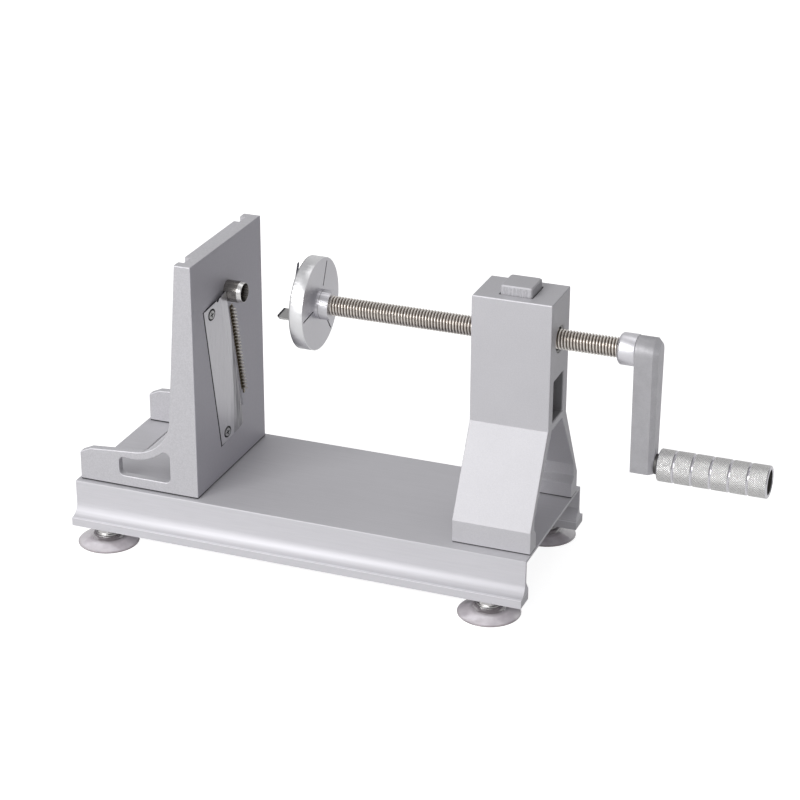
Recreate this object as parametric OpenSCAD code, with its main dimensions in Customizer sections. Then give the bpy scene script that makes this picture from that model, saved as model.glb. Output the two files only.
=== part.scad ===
// Hand-cranked vegetable shredder on an aluminium channel with suction feet.
// X runs along the channel from the blade stand to the crank, Y across it, Z up.
// The origin is on the table, under the middle of the whole part.

/* [Base channel] */
// Length of the channel
base_length = 387; // [280:1:500]
// Width over the two upright walls
base_width = 141; // [110:1:200]
// Height of the channel's own section
channel_height = 36.4; // [30:0.1:60]
// Thickness of the top plate
plate_thickness = 2.2; // [1.6:0.1:5]
// Thickness of the upright walls
wall_thickness = 2.4; // [1.6:0.1:5]
// Height of the straight part of each wall
wall_height = 19.4; // [10:0.1:40]
// Height of the lip along each foot flange
flange_lip = 6.9; // [3:0.1:12]
// Reach of each flange beyond its wall
flange_reach = 9.7; // [8:0.1:10]
// Width of each flange's underside
flange_width = 18; // [14:0.1:30]
// Rounding of the top plate's long edges
plate_round = 1; // [0.3:0.1:1.5]

/* [Suction feet] */
// Radius of a cup's lip
cup_radius = 25; // [18:0.1:35]
// Radius of a cup's neck
cup_neck_radius = 12.4; // [8:0.1:16]
// Height of a cup's dome
cup_dome_height = 4.2; // [3:0.1:12]
// Height of a cup's neck
cup_neck_height = 3.6; // [2:0.1:10]
// Thickness of a cup's skirt
cup_skirt = 1.5; // [1:0.1:3]
// Width of the flat ring that a cup rests on
cup_lip = 0.9; // [0.5:0.1:2]
// Distance of a cup's axis from the end of the channel
cup_inset = 28.5; // [26:0.5:60]
// Radius of the stud in a cup
stud_radius = 4; // [2.5:0.1:5]
// Depth of the stud in the flange
stud_depth = 7; // [4:0.1:8]
// Rubber left under the stud
stud_floor = 1.4; // [0.8:0.1:3]
// Radius of the washer on a cup
foot_washer_radius = 10; // [7:0.1:12]
// Thickness of that washer
foot_washer_thickness = 1.4; // [0.8:0.1:3]
// Width across the flats of the nut under the flange
foot_nut_flats = 17; // [10:0.1:20]
// Height of that nut
foot_nut_height = 3; // [2:0.1:8]

/* [Blade stand] */
// Distance of the stand's working face from the channel's end
stand_face = 108.3; // [95:0.1:140]
// Edge of the channel left beside the stand
stand_margin = 4.9; // [0:0.1:20]
// Height of the stand above the screw axis
stand_rise = 41.8; // [25:0.1:80]
// Thickness of the stand at its top
stand_top_thickness = 14.1; // [10:0.1:24]
// Thickness of the stand above its rails
stand_waist_thickness = 23.3; // [16:0.1:36]
// Thickness of each foot rail
rail_thickness = 7; // [5:0.1:14]
// Distance of the rails' ends from the channel's end
rail_inset = 2.7; // [0:0.1:20]
// Height of a rail at its end
rail_end_height = 24.6; // [15:0.1:40]
// Length of the slope on a rail's end
rail_nose = 9.3; // [3:0.1:20]
// Height of a rail behind that slope
rail_nose_height = 28.9; // [18:0.1:44]
// Height of a rail where the hollow curve starts
rail_height = 32; // [20:0.1:50]
// Radius of the hollow curve between rail and column
curve_radius = 35; // [20:0.1:50]
// Metal between that curve and the window in the rail
window_band = 6.6; // [5:0.1:15]
// Distance of the window from the channel's end
window_inset = 38; // [25:0.1:60]
// Height of the window's sill
window_sill = 9.7; // [5:0.1:20]
// Width of the post between the window and the working face
window_post = 24.3; // [18:0.1:40]
// Corner radius of the window
window_corner = 4.5; // [1:0.1:7]
// Thickness of the curved web between the rails
web_thickness = 6.5; // [4:0.1:12]
// Length of that web before the hollow curve starts
web_lip = 17; // [5:0.1:30]
// Width of the two grooves down the stand's back
groove_width = 12; // [6:0.1:20]
// Distance of the grooves from the stand's sides
groove_inset = 8.5; // [5:0.1:20]
// Metal left between a groove and the working face
groove_floor = 7; // [4:0.1:9]
// Length of the grooves
groove_length = 118; // [40:1:125]
// Length of the shallow upper end of the grooves
groove_lid = 12; // [4:0.5:30]
// Depth of the grooves at the stand's top
groove_mouth = 5; // [1:0.1:7]

/* [Slicing blade] */
// Width of the blade plate
blade_width = 36.4; // [25:0.1:45]
// Length of the blade plate
blade_length = 128; // [90:0.5:140]
// Thickness of the blade plate
blade_thickness = 1.5; // [1:0.1:3]
// Width of the ground bevel
bevel_width = 10; // [4:0.1:14]
// Thickness left at the cutting edge
edge_thickness = 0.25; // [0.1:0.05:0.6]
// Lean of the blade from upright
blade_lean = 11.5; // [0:0.5:20]
// Rise of the blade plate towards its cutting edge, in degrees
blade_rake = 7.75; // [4:0.25:12]
// Depth of the plate's outer face below the stand's face, at its seated side
blade_sink = 0.15; // [0.05:0.05:2]
// Distance of the blade's upper seated corner to the left of the screw axis
blade_corner_left = 45.1; // [35:0.1:60]
// Distance of that corner below the screw axis
blade_corner_drop = 4; // [0:0.1:20]
// Distance of the blade screws from the seated side
blade_screw_side = 11; // [6:0.1:14]
// Distance of the blade screws from the plate's ends
blade_screw_end = 7.2; // [5:0.1:20]
// Radius of a blade screw's shank
blade_screw_radius = 2; // [1.5:0.1:3]
// Radius of a blade screw's head
blade_screw_head = 4.5; // [3:0.1:6]
// Height of a blade screw's head
blade_screw_head_height = 1.4; // [1:0.1:3]
// Depth of that head's seat in the plate
head_seat = 0.9; // [0.3:0.1:1.2]
// Length of a blade screw's shank
blade_screw_length = 8; // [5:0.1:10]
// Radius of the half-round nick in the plate's upper end
nick_radius = 1.7; // [0.5:0.1:3]
// Distance of the nick from the seated side
nick_side = 22; // [15:0.1:28]

/* [Slice slot and comb] */
// Distance of the slot from the blade's seated side
slot_side = 18.5; // [17:0.1:25]
// Distance of the slot's upper end below the screw axis
slot_top_drop = 19.6; // [16:0.1:40]
// Height of the slot
slot_height = 90; // [50:0.1:95]
// Place of the comb's upper end beside the screw axis
comb_top_side = 5.3; // [3:0.1:10]
// Distance of the comb's upper end below the screw axis
comb_drop = 14.8; // [13:0.1:30]
// Lean of the comb from upright
comb_lean = 13.3; // [8:0.1:20]
// Number of teeth
comb_teeth = 25; // [10:1:40]
// Metal between the slot and the comb's strip
slot_margin = 1.2; // [0.6:0.1:4]
// Distance from tooth to tooth
comb_pitch = 3.3; // [2.5:0.1:6]
// Thickness of a tooth
tooth_thickness = 0.9; // [0.5:0.1:1.5]
// Height of a tooth above the stand's face
tooth_height = 5.2; // [1.5:0.1:6]
// Width of the comb's strip
comb_width = 6; // [3:0.1:8]
// Depth of the strip in the stand
comb_depth = 2.4; // [1:0.1:5]
// Length of the tab at the comb's lower end
comb_tab = 4.5; // [1:0.1:8]
// Width of that tab
comb_tab_width = 2; // [1:0.1:4]
// Height of that tab above the stand's face
comb_tab_height = 1; // [0.5:0.1:3]

/* [Coring tube] */
// Outer radius of the tube
tube_radius = 8.65; // [6:0.05:12]
// Wall of the tube
tube_wall = 1.1; // [0.6:0.05:2]
// Reach of the tube beyond the stand's face
tube_reach = 15.2; // [8:0.1:25]
// Reach of the tube behind its nut
tube_tail = 1.5; // [0.5:0.1:6]
// Length of the ground bevel at the tube's mouth
tube_bevel = 4; // [1:0.1:8]
// Width across the flats of the tube's nut
tube_nut_flats = 24; // [20:0.1:32]
// Height of the tube's nut
tube_nut_height = 5; // [3:0.1:8]
// Depth of the flat seat for that nut
tube_nut_seat = 4.5; // [1:0.1:6]

/* [Tower] */
// Length of the tower along the channel
tower_depth = 64; // [50:0.1:90]
// Height of the tower above the screw axis
tower_rise = 34.9; // [24:0.1:60]
// Width of the tower's head
head_width = 45.2; // [40:0.1:70]
// Height at which the legs leave the head
shoulder_height = 87.9; // [60:0.1:110]
// Edge of the channel left beside the tower's feet
tower_margin = 10.5; // [0:0.1:30]
// Height of the feet's upright outer sides
foot_side_height = 18.7; // [12:0.1:30]
// Width of a foot
foot_pad_width = 14; // [10:0.1:24]
// Height of a foot's upright inner side
foot_pad_height = 13; // [8:0.1:20]
// Width of the slope on a foot's inner side
foot_slope = 5; // [2:0.1:8]
// Wall of a leg above its foot
leg_foot_wall = 4; // [3:0.1:8]
// Height at which a leg is thinnest
leg_thin_height = 28; // [20:0.1:40]
// Width of the arch between the legs at its crown
arch_crown_width = 27; // [15:0.1:34]
// Height of the arch's crown
arch_height = 85.3; // [60:0.1:105]
// Width of the window in the head
head_window_width = 26; // [15:0.1:34]
// Height of that window's sill
head_window_sill = 91.4; // [70:0.1:110]
// Metal between that window and the button's shaft
head_window_roof = 3.2; // [2:0.1:10]
// Corner radius of that window
window_round = 0.8; // [0.3:0.1:4]
// Radius of the wide mouth of the screw bore
bore_mouth_radius = 10.75; // [9:0.05:14]
// Depth of that mouth
bore_mouth_depth = 8; // [3:0.1:12]

/* [Lead screw] */
// Height of the screw's axis above the channel
axis_height = 156.6; // [145:0.1:190]
// Outer radius of the thread
thread_radius = 8; // [6:0.05:12]
// Depth of the thread
thread_depth = 1.35; // [0.8:0.05:2]
// Pitch of the thread
thread_pitch = 2.5; // [2:0.1:5]
// Width of the flat on the thread's crest
thread_flat = 0.6; // [0.2:0.05:1.5]
// Steps in one turn of the thread
thread_steps = 12; // [8:1:24]
// Length of the run-out at each end of the thread
thread_runout = 0.6; // [0.3:0.1:3]
// Distance from the stand's face to the drive disc at rest
disc_gap = 69.7; // [56:0.1:110]
// Screw in sight between the tower and the collar
screw_out_rear = 47.5; // [30:0.1:90]
// Radius of the screw's plain ends
journal_radius = 6; // [4:0.05:8]
// Length of the plain end inside the crank arm
journal_depth = 12; // [8:0.1:15]

/* [Release button and half nut] */
// Width of the button, both ways
button_width = 26; // [20:0.1:32]
// Height of the button above the tower
button_rise = 7.4; // [5:0.1:15]
// Corner radius of the button
button_corner = 2; // [0.5:0.1:4]
// Slope on the button's upper edges
button_bevel = 1; // [0.3:0.1:3]
// Travel of the button
button_travel = 4.5; // [2:0.1:6]
// Width of the half nut
nut_width = 22; // [18:0.1:23]
// Height of the half nut
nut_height = 9.5; // [7:0.1:12]
// Height of the half nut's top below the screw axis
nut_drop = 4.1; // [2:0.1:6]
// Metal under the half nut
button_floor = 4; // [2:0.1:8]
// Room for the spring at rest
spring_room = 10; // [8:0.1:20]
// Radius of the spring's coil
spring_radius = 8; // [4:0.1:11]
// Radius of the spring's wire
spring_wire = 0.6; // [0.4:0.05:1]
// Turns of the spring
spring_turns = 3.5; // [2:0.5:6]

/* [Drive disc] */
// Radius of the disc
disc_radius = 37.3; // [25:0.1:50]
// Thickness of the disc
disc_thickness = 11.1; // [6:0.1:20]
// Radius of the hub
hub_radius = 12; // [9:0.1:16]
// Length of the hub
hub_length = 10.6; // [6:0.1:20]
// Distance of a slot's inner end from the axis
prong_slot_inner = 14.2; // [13:0.1:20]
// Distance of a slot's outer end from the axis
prong_slot_outer = 34.4; // [24:0.1:48]
// Number of prongs
prong_count = 3; // [3:1:3]
// Turn of the first prong from level
prong_angle = 66; // [0:1:119]
// Thickness of a prong
prong_thickness = 1.3; // [0.8:0.1:3]
// Reach of a prong beyond the disc
prong_reach = 13.3; // [8:0.1:20]
// Step from the slot's ends to the prong's sides
prong_step = 1.8; // [0.5:0.1:4]
// Size of the slanted corner at a prong's tip
prong_corner = 3.6; // [1:0.1:6]

/* [Crank] */
// Radius of the collar
collar_radius = 12.5; // [9:0.1:18]
// Length of the collar
collar_length = 14; // [8:0.1:25]
// Bevel at the collar's front end
collar_bevel = 1.8; // [0.5:0.1:4]
// Thickness of the arm
arm_thickness = 18; // [14:0.1:28]
// Radius of the arm's round top
arm_top_radius = 12; // [9:0.1:18]
// Width of the arm at its lower end
arm_end_width = 18.4; // [12:0.1:24]
// Distance from the screw axis to the grip's axis
crank_throw = 91.3; // [60:0.1:130]
// Metal beyond the grip's axis at the arm's lower end
arm_tail = 6.3; // [5:0.1:20]
// Bevel along the arm's outer face
arm_bevel = 3.7; // [1:0.1:6]
// Radius of the set screws in the arm and the hub
set_screw_radius = 2.5; // [1.5:0.1:4]
// Length of the hub's set screw
hub_screw_length = 5.5; // [3:0.1:6]
// Length of the arm's set screw
arm_screw_length = 5.6; // [3:0.1:6]

// Turn of the hub's set screw above level
hub_screw_turn = 25; // [0:5:90]

/* [Grip] */
// Radius of the grip
grip_radius = 12.75; // [9:0.05:18]
// Length of the grip
grip_length = 85.8; // [60:0.1:120]
// Radius of the grip's hollow end
grip_hollow_radius = 9.8; // [7:0.05:14]
// Depth of that hollow
grip_hollow_depth = 66; // [30:0.1:80]
// Number of grooves round the grip
grip_grooves = 5; // [1:1:7]
// Distance from groove to groove
groove_pitch = 14.4; // [8:0.1:18]
// Distance of the first groove from the arm's end of the grip
groove_start = 12; // [6:0.1:25]
// Width of a groove
grip_groove_width = 1.8; // [0.8:0.1:3]
// Depth of a groove
grip_groove_depth = 0.7; // [0.3:0.1:1.5]
// Bevel at the grip's ends
grip_bevel = 0.8; // [0.3:0.1:2]
// Radius of the axle bolt
axle_radius = 4; // [3:0.05:5]
// Depth of the axle bolt in the arm
axle_depth = 12; // [8:0.1:15]
// Radius of the bolt's head
axle_head_radius = 6.5; // [5:0.1:8]
// Height of the bolt's head
axle_head_height = 7; // [4:0.1:10]
// Width across the flats of the bolt's socket
axle_socket_flats = 6; // [4:0.1:8]
// Depth of the bolt's socket
axle_socket_depth = 4; // [2:0.1:6]
// Thickness of the spacer between arm and grip
spacer_thickness = 2.9; // [1:0.1:6]
// Radius of that spacer
spacer_radius = 8; // [6:0.1:12]

/* [Fasteners] */
// Radius of the stand's bolts
stand_bolt_radius = 2; // [1.5:0.1:2.5]
// Radius of the tower's bolts
tower_bolt_radius = 2.5; // [2:0.1:4]
// Depth of the bolts in the metal that they hold
bolt_depth = 9; // [6:0.1:11]
// Distance of the front stand bolts from the rails' ends
rail_bolt_inset = 14; // [8:0.1:20]
// Distance of the rear stand bolts from the middle
post_bolt_side = 50; // [20:0.1:56]
// Distance of the tower's bolts from its faces
tower_bolt_inset = 13; // [8:0.1:25]

/* [Clearances] */
// Gap round a bolt or screw in its own hole
bolt_clearance = 0.05; // [0.02:0.01:0.2]
// Gap round a bolt where it only passes through
pass_clearance = 0.25; // [0.1:0.05:0.5]
// Gap between a turning shaft and its bore
running_clearance = 0.08; // [0.02:0.01:0.1]
// Gap between the button and its shaft in the tower
slide_clearance = 0.2; // [0.1:0.05:0.4]
// Gap between the screw and its plain bore
guide_clearance = 0.3; // [0.2:0.05:0.6]
// Gap between the thread and the half nut
thread_clearance = 0.15; // [0.1:0.05:0.4]
// Gap round a prong and round the comb's strip
press_clearance = 0.03; // [0.01:0.01:0.1]
// Room beside the blade plate in its seat
seat_clearance = 0.5; // [0.2:0.1:2]
// Room at the ends of the blade plate in its seat
seat_end_clearance = 1; // [0.2:0.1:2]
// Gap round a screw's head in the blade plate
head_clearance = 0.4; // [0.1:0.1:1]
// Room round the tube's nut in its seat
nut_clearance = 0.7; // [0.2:0.1:2]
// End play of the turning parts
end_play = 0.2; // [0.1:0.05:0.5]

/* [Hidden] */
$fn = 64;
overrun = 1;
head_height_share = 1.3;
head_radius_share = 1.75;
steel = [0.72, 0.71, 0.69];
silver = [0.78, 0.78, 0.80];
painted = [0.66, 0.66, 0.69];
dark_paint = [0.58, 0.58, 0.60];
clear_rubber = [0.75, 0.69, 0.69];
brass = [0.72, 0.60, 0.35];

// Heights above the channel
stand_height = axis_height + stand_rise;
tower_height = axis_height + tower_rise;

// Heights above the table
foot_lift = cup_dome_height + cup_neck_height + foot_washer_thickness + foot_nut_height;
base_top = foot_lift + channel_height;
axis_z = base_top + axis_height;
grip_z = axis_z - crank_throw;

// Places along X, counted from the channel's free end
overall_length = base_length + screw_out_rear + collar_length + arm_thickness
    + spacer_thickness + end_play + grip_length;
stand_width = base_width - 2 * stand_margin;
tower_foot_width = base_width - 2 * tower_margin;
base_x = -overall_length / 2;
face_x = base_x + stand_face;
tower_x = base_x + base_length - tower_depth;
tower_end_x = base_x + base_length;
disc_face_x = face_x + disc_gap;
disc_rear_x = disc_face_x + disc_thickness;
hub_end_x = disc_rear_x + hub_length;
collar_x = tower_end_x + screw_out_rear;
arm_x = collar_x + collar_length;
arm_face_x = arm_x + arm_thickness;
grip_x = arm_face_x + spacer_thickness + end_play;

// Places across and along the feet
cove_radius = channel_height - wall_height - flange_lip;
cup_y = base_width / 2 + flange_reach - flange_width / 2;
cup_places = [for (x = [base_x + cup_inset, tower_end_x - cup_inset], side = [-1, 1])
    [x, side * cup_y]];
stand_bolt_places = [for (side = [-1, 1])
    each [[base_x + rail_inset + rail_bolt_inset, side * (stand_width - rail_thickness) / 2],
          [face_x - window_post / 2, side * post_bolt_side]]];
tower_bolt_places = [for (x = [tower_x + tower_bolt_inset, tower_end_x - tower_bolt_inset],
    side = [-1, 1]) [x, side * (tower_foot_width - foot_pad_width) / 2]];

// The screw's thread
root_radius = thread_radius - thread_depth;
thread_x = hub_end_x + thread_runout;
thread_turns = floor((collar_x - hub_end_x - 2 * thread_runout) / thread_pitch) - 1;
facet_share = cos(180 / thread_steps);

// The button's shaft and the space for the half nut
button_x = tower_x + tower_depth / 2;
plunger_width = button_width - 2 * slide_clearance;
nut_top_z = axis_z - nut_drop;
nut_floor_z = nut_top_z - nut_height;
plunger_floor_z = nut_floor_z - button_floor;
shaft_floor_z = plunger_floor_z - spring_room;
head_window_height = shaft_floor_z - base_top - head_window_sill - head_window_roof;
button_top_z = base_top + tower_height + button_rise;
passage_radius = thread_radius + guide_clearance + slide_clearance;

// The blade's seat and the comb
blade_corner = [face_x, -blade_corner_left, axis_z - blade_corner_drop];
comb_length = comb_teeth * comb_pitch;
comb_origin = [face_x, comb_top_side, axis_z - comb_drop];
back_slope_share = (stand_waist_thickness - stand_top_thickness)
    / (stand_height - rail_height - curve_radius);
tube_back_x = face_x - stand_top_thickness
    - back_slope_share * (stand_height - axis_height) + tube_nut_seat;

// An outline drawn in Y and Z, made solid along X
module along_x(x, length) {
    translate([x, 0, 0]) rotate([90, 0, 90]) linear_extrude(length) children();
}

// An outline drawn in X and Z, made solid along Y
module along_y(y, width) {
    translate([0, y + width, 0]) rotate([90, 0, 0]) linear_extrude(width) children();
}

// A round bar along X
module bar_x(x, length, radius, y = 0, z = axis_z) {
    translate([x, y, z]) rotate([0, 90, 0]) cylinder(h = length, r = radius);
}

// A body of revolution about X: its outline is drawn as radius and distance from x
module turned_x(x, z = axis_z) {
    translate([x, 0, z]) rotate([0, 90, 0]) rotate_extrude() children();
}

// A rectangle with round corners
module soft_rectangle(size, radius) {
    translate([radius, 0]) square([size[0] - 2 * radius, size[1]]);
    translate([0, radius]) square([size[0], size[1] - 2 * radius]);
    for (x = [radius, size[0] - radius], y = [radius, size[1] - radius])
        translate([x, y]) circle(r = radius);
}

// The channel's plate with one wall and its flange, with its top at zero
module channel_side() {
    half = base_width / 2;
    outer = half + flange_reach;
    inner = outer - flange_width;
    translate([plate_round - half, -plate_thickness])
        square([2 * (half - plate_round), plate_thickness]);
    translate([half - plate_round, -plate_round]) circle(r = plate_round);
    difference() {
        polygon([[half - wall_thickness, -plate_round], [half, -plate_round],
                 [half, -wall_height], [outer, -wall_height],
                 [outer, -channel_height], [inner, -channel_height],
                 [inner, -channel_height + flange_lip + wall_thickness],
                 [half - wall_thickness, -wall_height]]);
        translate([half + cove_radius, -wall_height]) circle(r = cove_radius);
    }
}

module base_channel() {
    color(silver) difference() {
        for (side = [0, 1]) mirror([0, side, 0])
            along_x(base_x, base_length) translate([0, base_top]) channel_side();
        bolt_holes(stand_bolt_places, base_top - plate_thickness - overrun,
            plate_thickness + 2 * overrun, stand_bolt_radius + pass_clearance);
        bolt_holes(tower_bolt_places, base_top - plate_thickness - overrun,
            plate_thickness + 2 * overrun, tower_bolt_radius + pass_clearance);
        bolt_holes(cup_places, foot_lift - overrun, stud_depth + overrun,
            stud_radius + bolt_clearance);
    }
}

// Upright holes of one radius at a list of places
module bolt_holes(places, z, depth, radius) {
    for (place = places)
        translate([place[0], place[1], z]) cylinder(h = depth, r = radius);
}

// Bolts put in from below, with their heads under the channel's top plate
module bolts_from_below(places, radius) {
    head_z = base_top - plate_thickness;
    head_height = head_height_share * radius;
    for (place = places) translate([place[0], place[1], head_z]) difference() {
        union() {
            cylinder(h = plate_thickness + bolt_depth, r = radius);
            translate([0, 0, -head_height]) cylinder(h = head_height, r = head_radius_share * radius);
        }
        translate([0, 0, -head_height - overrun])
            cylinder(h = overrun + head_height / 2, r = radius, $fn = 6);
    }
}

// A suction cup: a thin skirt under a solid neck, with a blind hole for its stud
module suction_cup(place) {
    neck_top = cup_dome_height + cup_neck_height;
    color(clear_rubber) translate([place[0], place[1], 0]) difference() {
        rotate_extrude() polygon([
            [0, cup_skirt], [cup_neck_radius, cup_dome_height - cup_skirt],
            [cup_radius - cup_lip, 0], [cup_radius, 0], [cup_radius, cup_skirt / 2],
            [cup_neck_radius + cup_lip, cup_dome_height],
            [cup_neck_radius, cup_dome_height + cup_lip], [cup_neck_radius, neck_top],
            [0, neck_top]]);
        translate([0, 0, stud_bottom_z]) cylinder(h = neck_top, r = stud_radius);
    }
}
stud_bottom_z = cup_skirt + stud_floor;

module foot_studs() {
    color(steel) for (place = cup_places)
        translate([place[0], place[1], stud_bottom_z])
            cylinder(h = foot_lift + stud_depth - stud_bottom_z, r = stud_radius);
}

module foot_washers() {
    color(silver) for (place = cup_places)
        translate([place[0], place[1], cup_dome_height + cup_neck_height]) difference() {
            cylinder(h = foot_washer_thickness, r = foot_washer_radius);
            translate([0, 0, -overrun]) cylinder(h = foot_washer_thickness + 2 * overrun,
                r = stud_radius + bolt_clearance);
        }
}

// A hexagonal nut standing on zero, with its corners turned off at both ends
module hex_nut(flats, height, bore) {
    corner = flats / 2 / cos(30);
    slope = (corner - flats / 2) / 2;
    difference() {
        intersection() {
            cylinder(h = height, r = corner, $fn = 6);
            rotate_extrude() polygon([[0, 0], [flats / 2, 0], [corner, slope],
                [corner, height - slope], [flats / 2, height], [0, height]]);
        }
        translate([0, 0, -overrun]) cylinder(h = height + 2 * overrun, r = bore);
    }
}

module foot_nuts() {
    color(steel) for (place = cup_places)
        translate([place[0], place[1], foot_lift - foot_nut_height])
            hex_nut(foot_nut_flats, foot_nut_height, stud_radius + bolt_clearance);
}

// The side view of the stand: rail, hollow curve and tapering column
module stand_outline() {
    waist_x = face_x - stand_waist_thickness;
    curve_x = waist_x - curve_radius;
    curve_z = base_top + rail_height + curve_radius;
    rail_x = base_x + rail_inset;
    difference() {
        polygon([[rail_x, base_top], [rail_x, base_top + rail_end_height],
                 [rail_x + rail_nose, base_top + rail_nose_height],
                 [curve_x, base_top + rail_height], [curve_x, curve_z], [waist_x, curve_z],
                 [face_x - stand_top_thickness, base_top + stand_height],
                 [face_x, base_top + stand_height], [face_x, base_top]]);
        translate([curve_x, curve_z]) circle(r = curve_radius);
    }
}

// A disc about the centre of the hollow curve, larger by the metal left on it
module curve_disc(metal) {
    translate([face_x - stand_waist_thickness - curve_radius,
               base_top + rail_height + curve_radius]) circle(r = curve_radius + metal);
}

// The window in a rail, which follows the hollow curve and has round corners under it
module rail_window() {
    length = stand_face - window_post - window_inset;
    curve_x = face_x - stand_waist_thickness - curve_radius;
    curve_z = base_top + rail_height + curve_radius;
    front_x = base_x + window_inset;
    rear_x = front_x + length;
    function corner_z(x) = curve_z
        - sqrt(pow(curve_radius + window_band + window_corner, 2) - pow(x - curve_x, 2));
    front = [front_x + window_corner, corner_z(front_x + window_corner)];
    rear = [rear_x - window_corner, corner_z(rear_x - window_corner)];
    difference() {
        translate([front_x, base_top + window_sill])
            soft_rectangle([length, rail_height], window_corner);
        curve_disc(window_band);
        difference() {
            polygon([[front_x - overrun, front[1]], front, [curve_x, curve_z],
                     [front_x - overrun, curve_z]]);
            translate(front) circle(r = window_corner);
        }
        difference() {
            polygon([rear, [rear_x + overrun, rear[1]], [rear_x + overrun, curve_z],
                     [curve_x, curve_z]]);
            translate(rear) circle(r = window_corner);
        }
    }
}

// The open space under the web, between the rails
module under_web() {
    curve_x = face_x - stand_waist_thickness - curve_radius;
    post_x = face_x - window_post;
    difference() {
        translate([base_x - overrun, base_top - overrun])
            square([post_x - base_x + overrun, rail_height + curve_radius]);
        intersection() {
            curve_disc(web_thickness);
            translate([curve_x, base_top]) square([stand_face, rail_height + curve_radius]);
        }
        translate([curve_x - web_lip, base_top + rail_height - web_thickness])
            square([web_lip + overrun, web_thickness]);
    }
}

// Puts the blade's own frame, with its seated upper corner at zero, into place
module at_blade() {
    translate(blade_corner) rotate([blade_lean, 0, 0]) rotate([0, 0, -blade_rake])
        translate([-blade_sink, 0, 0]) children();
}

// The slot that the slices leave by, as an outline in Y and Z
module slice_slot() {
    top_z = axis_z - slot_top_drop;
    left_y = -blade_corner_left + slot_side / cos(blade_lean)
        + (slot_top_drop - blade_corner_drop) * tan(blade_lean);
    right_y = comb_top_side - comb_width / 2 - slot_margin
        + (slot_top_drop - comb_drop) * tan(comb_lean);
    polygon([[left_y, top_z], [right_y, top_z],
             [right_y + slot_height * tan(comb_lean), top_z - slot_height],
             [left_y + slot_height * tan(blade_lean), top_z - slot_height]]);
}

module blade_stand() {
    inner = stand_width / 2 - rail_thickness;
    groove_z = base_top + stand_height - groove_length;
    color(painted) difference() {
        along_y(-stand_width / 2, stand_width) stand_outline();
        along_y(-inner, 2 * inner) under_web();
        for (y = [-stand_width / 2 - overrun, inner - overrun])
            along_y(y, rail_thickness + 2 * overrun) rail_window();
        for (y = [-stand_width / 2 + groove_inset, stand_width / 2 - groove_inset - groove_width])
            translate([base_x, y, groove_z])
                cube([stand_face - groove_floor, groove_width, groove_length - groove_lid]);
        for (y = [-stand_width / 2 + groove_inset, stand_width / 2 - groove_inset - groove_width])
            translate([base_x, y, groove_z])
                cube([stand_face - stand_top_thickness + groove_mouth, groove_width,
                      groove_length + overrun]);
        bar_x(base_x, base_length, tube_radius + bolt_clearance);
        bar_x(base_x + stand_face - 2 * stand_waist_thickness,
            tube_back_x - base_x - stand_face + 2 * stand_waist_thickness,
            tube_nut_flats / 2 / cos(30) + nut_clearance);
        along_x(base_x, base_length) slice_slot();
        at_blade() translate([-blade_thickness, -seat_clearance, -blade_length - seat_end_clearance])
            cube([stand_top_thickness, blade_width + 2 * seat_clearance,
                  blade_length + 2 * seat_end_clearance]);
        at_blade_screws() translate([0, 0, -blade_thickness - blade_screw_length - overrun])
            cylinder(h = blade_screw_length + 2 * overrun, r = blade_screw_radius + bolt_clearance);
        at_comb() translate([-comb_depth, -comb_width / 2 - press_clearance,
                             -comb_length - press_clearance])
            cube([comb_depth + overrun, comb_width + 2 * press_clearance,
                  comb_length + 2 * press_clearance]);
        at_comb() translate([-comb_depth, -comb_tab_width / 2 - press_clearance,
                             -comb_length - comb_tab - press_clearance])
            cube([comb_depth + overrun, comb_tab_width + 2 * press_clearance,
                  comb_tab + comb_pitch]);
        bolt_holes(stand_bolt_places, base_top - overrun, bolt_depth + 2 * overrun,
            stand_bolt_radius + bolt_clearance);
    }
}

// The two places of the blade screws, with Z pointing out of the plate
module at_blade_screws() {
    for (z = [-blade_screw_end, blade_screw_end - blade_length])
        at_blade() translate([0, blade_screw_side, z]) rotate([0, 90, 0]) children();
}

module slicing_blade() {
    color(steel) at_blade() difference() {
        translate([0, 0, -blade_length]) linear_extrude(blade_length) polygon([
            [-blade_thickness, 0], [0, 0], [0, blade_width - bevel_width],
            [edge_thickness - blade_thickness, blade_width], [-blade_thickness, blade_width]]);
        for (z = [-blade_screw_end, blade_screw_end - blade_length])
            translate([0, blade_screw_side, z]) rotate([0, 90, 0]) {
                translate([0, 0, -blade_thickness - overrun]) cylinder(
                    h = blade_thickness + 2 * overrun, r = blade_screw_radius + pass_clearance);
                translate([0, 0, -head_seat])
                    cylinder(h = head_seat + overrun, r = blade_screw_head + head_clearance);
            }
        translate([-blade_thickness - overrun, nick_side, 0]) rotate([0, 90, 0])
            cylinder(h = blade_thickness + 2 * overrun, r = nick_radius);
    }
}

// Screws with a low head, sunk in the plate, and a cross recess
module blade_screws() {
    color(steel) at_blade_screws() translate([0, 0, -head_seat]) difference() {
        union() {
            translate([0, 0, head_seat - blade_thickness - blade_screw_length])
                cylinder(h = blade_thickness + blade_screw_length - head_seat,
                    r = blade_screw_radius);
            cylinder(h = blade_screw_head_height, r1 = blade_screw_head,
                r2 = 0.8 * blade_screw_head);
        }
        for (turn = [0, 90]) rotate([0, 0, turn])
            translate([-blade_screw_head / 2, -blade_screw_head / 10, blade_screw_head_height / 3])
                cube([blade_screw_head, blade_screw_head / 5, blade_screw_head_height]);
    }
}

// Puts the comb's own frame, with its upper end at zero, on the stand's face
module at_comb() {
    translate(comb_origin) rotate([comb_lean, 0, 0]) children();
}

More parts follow.
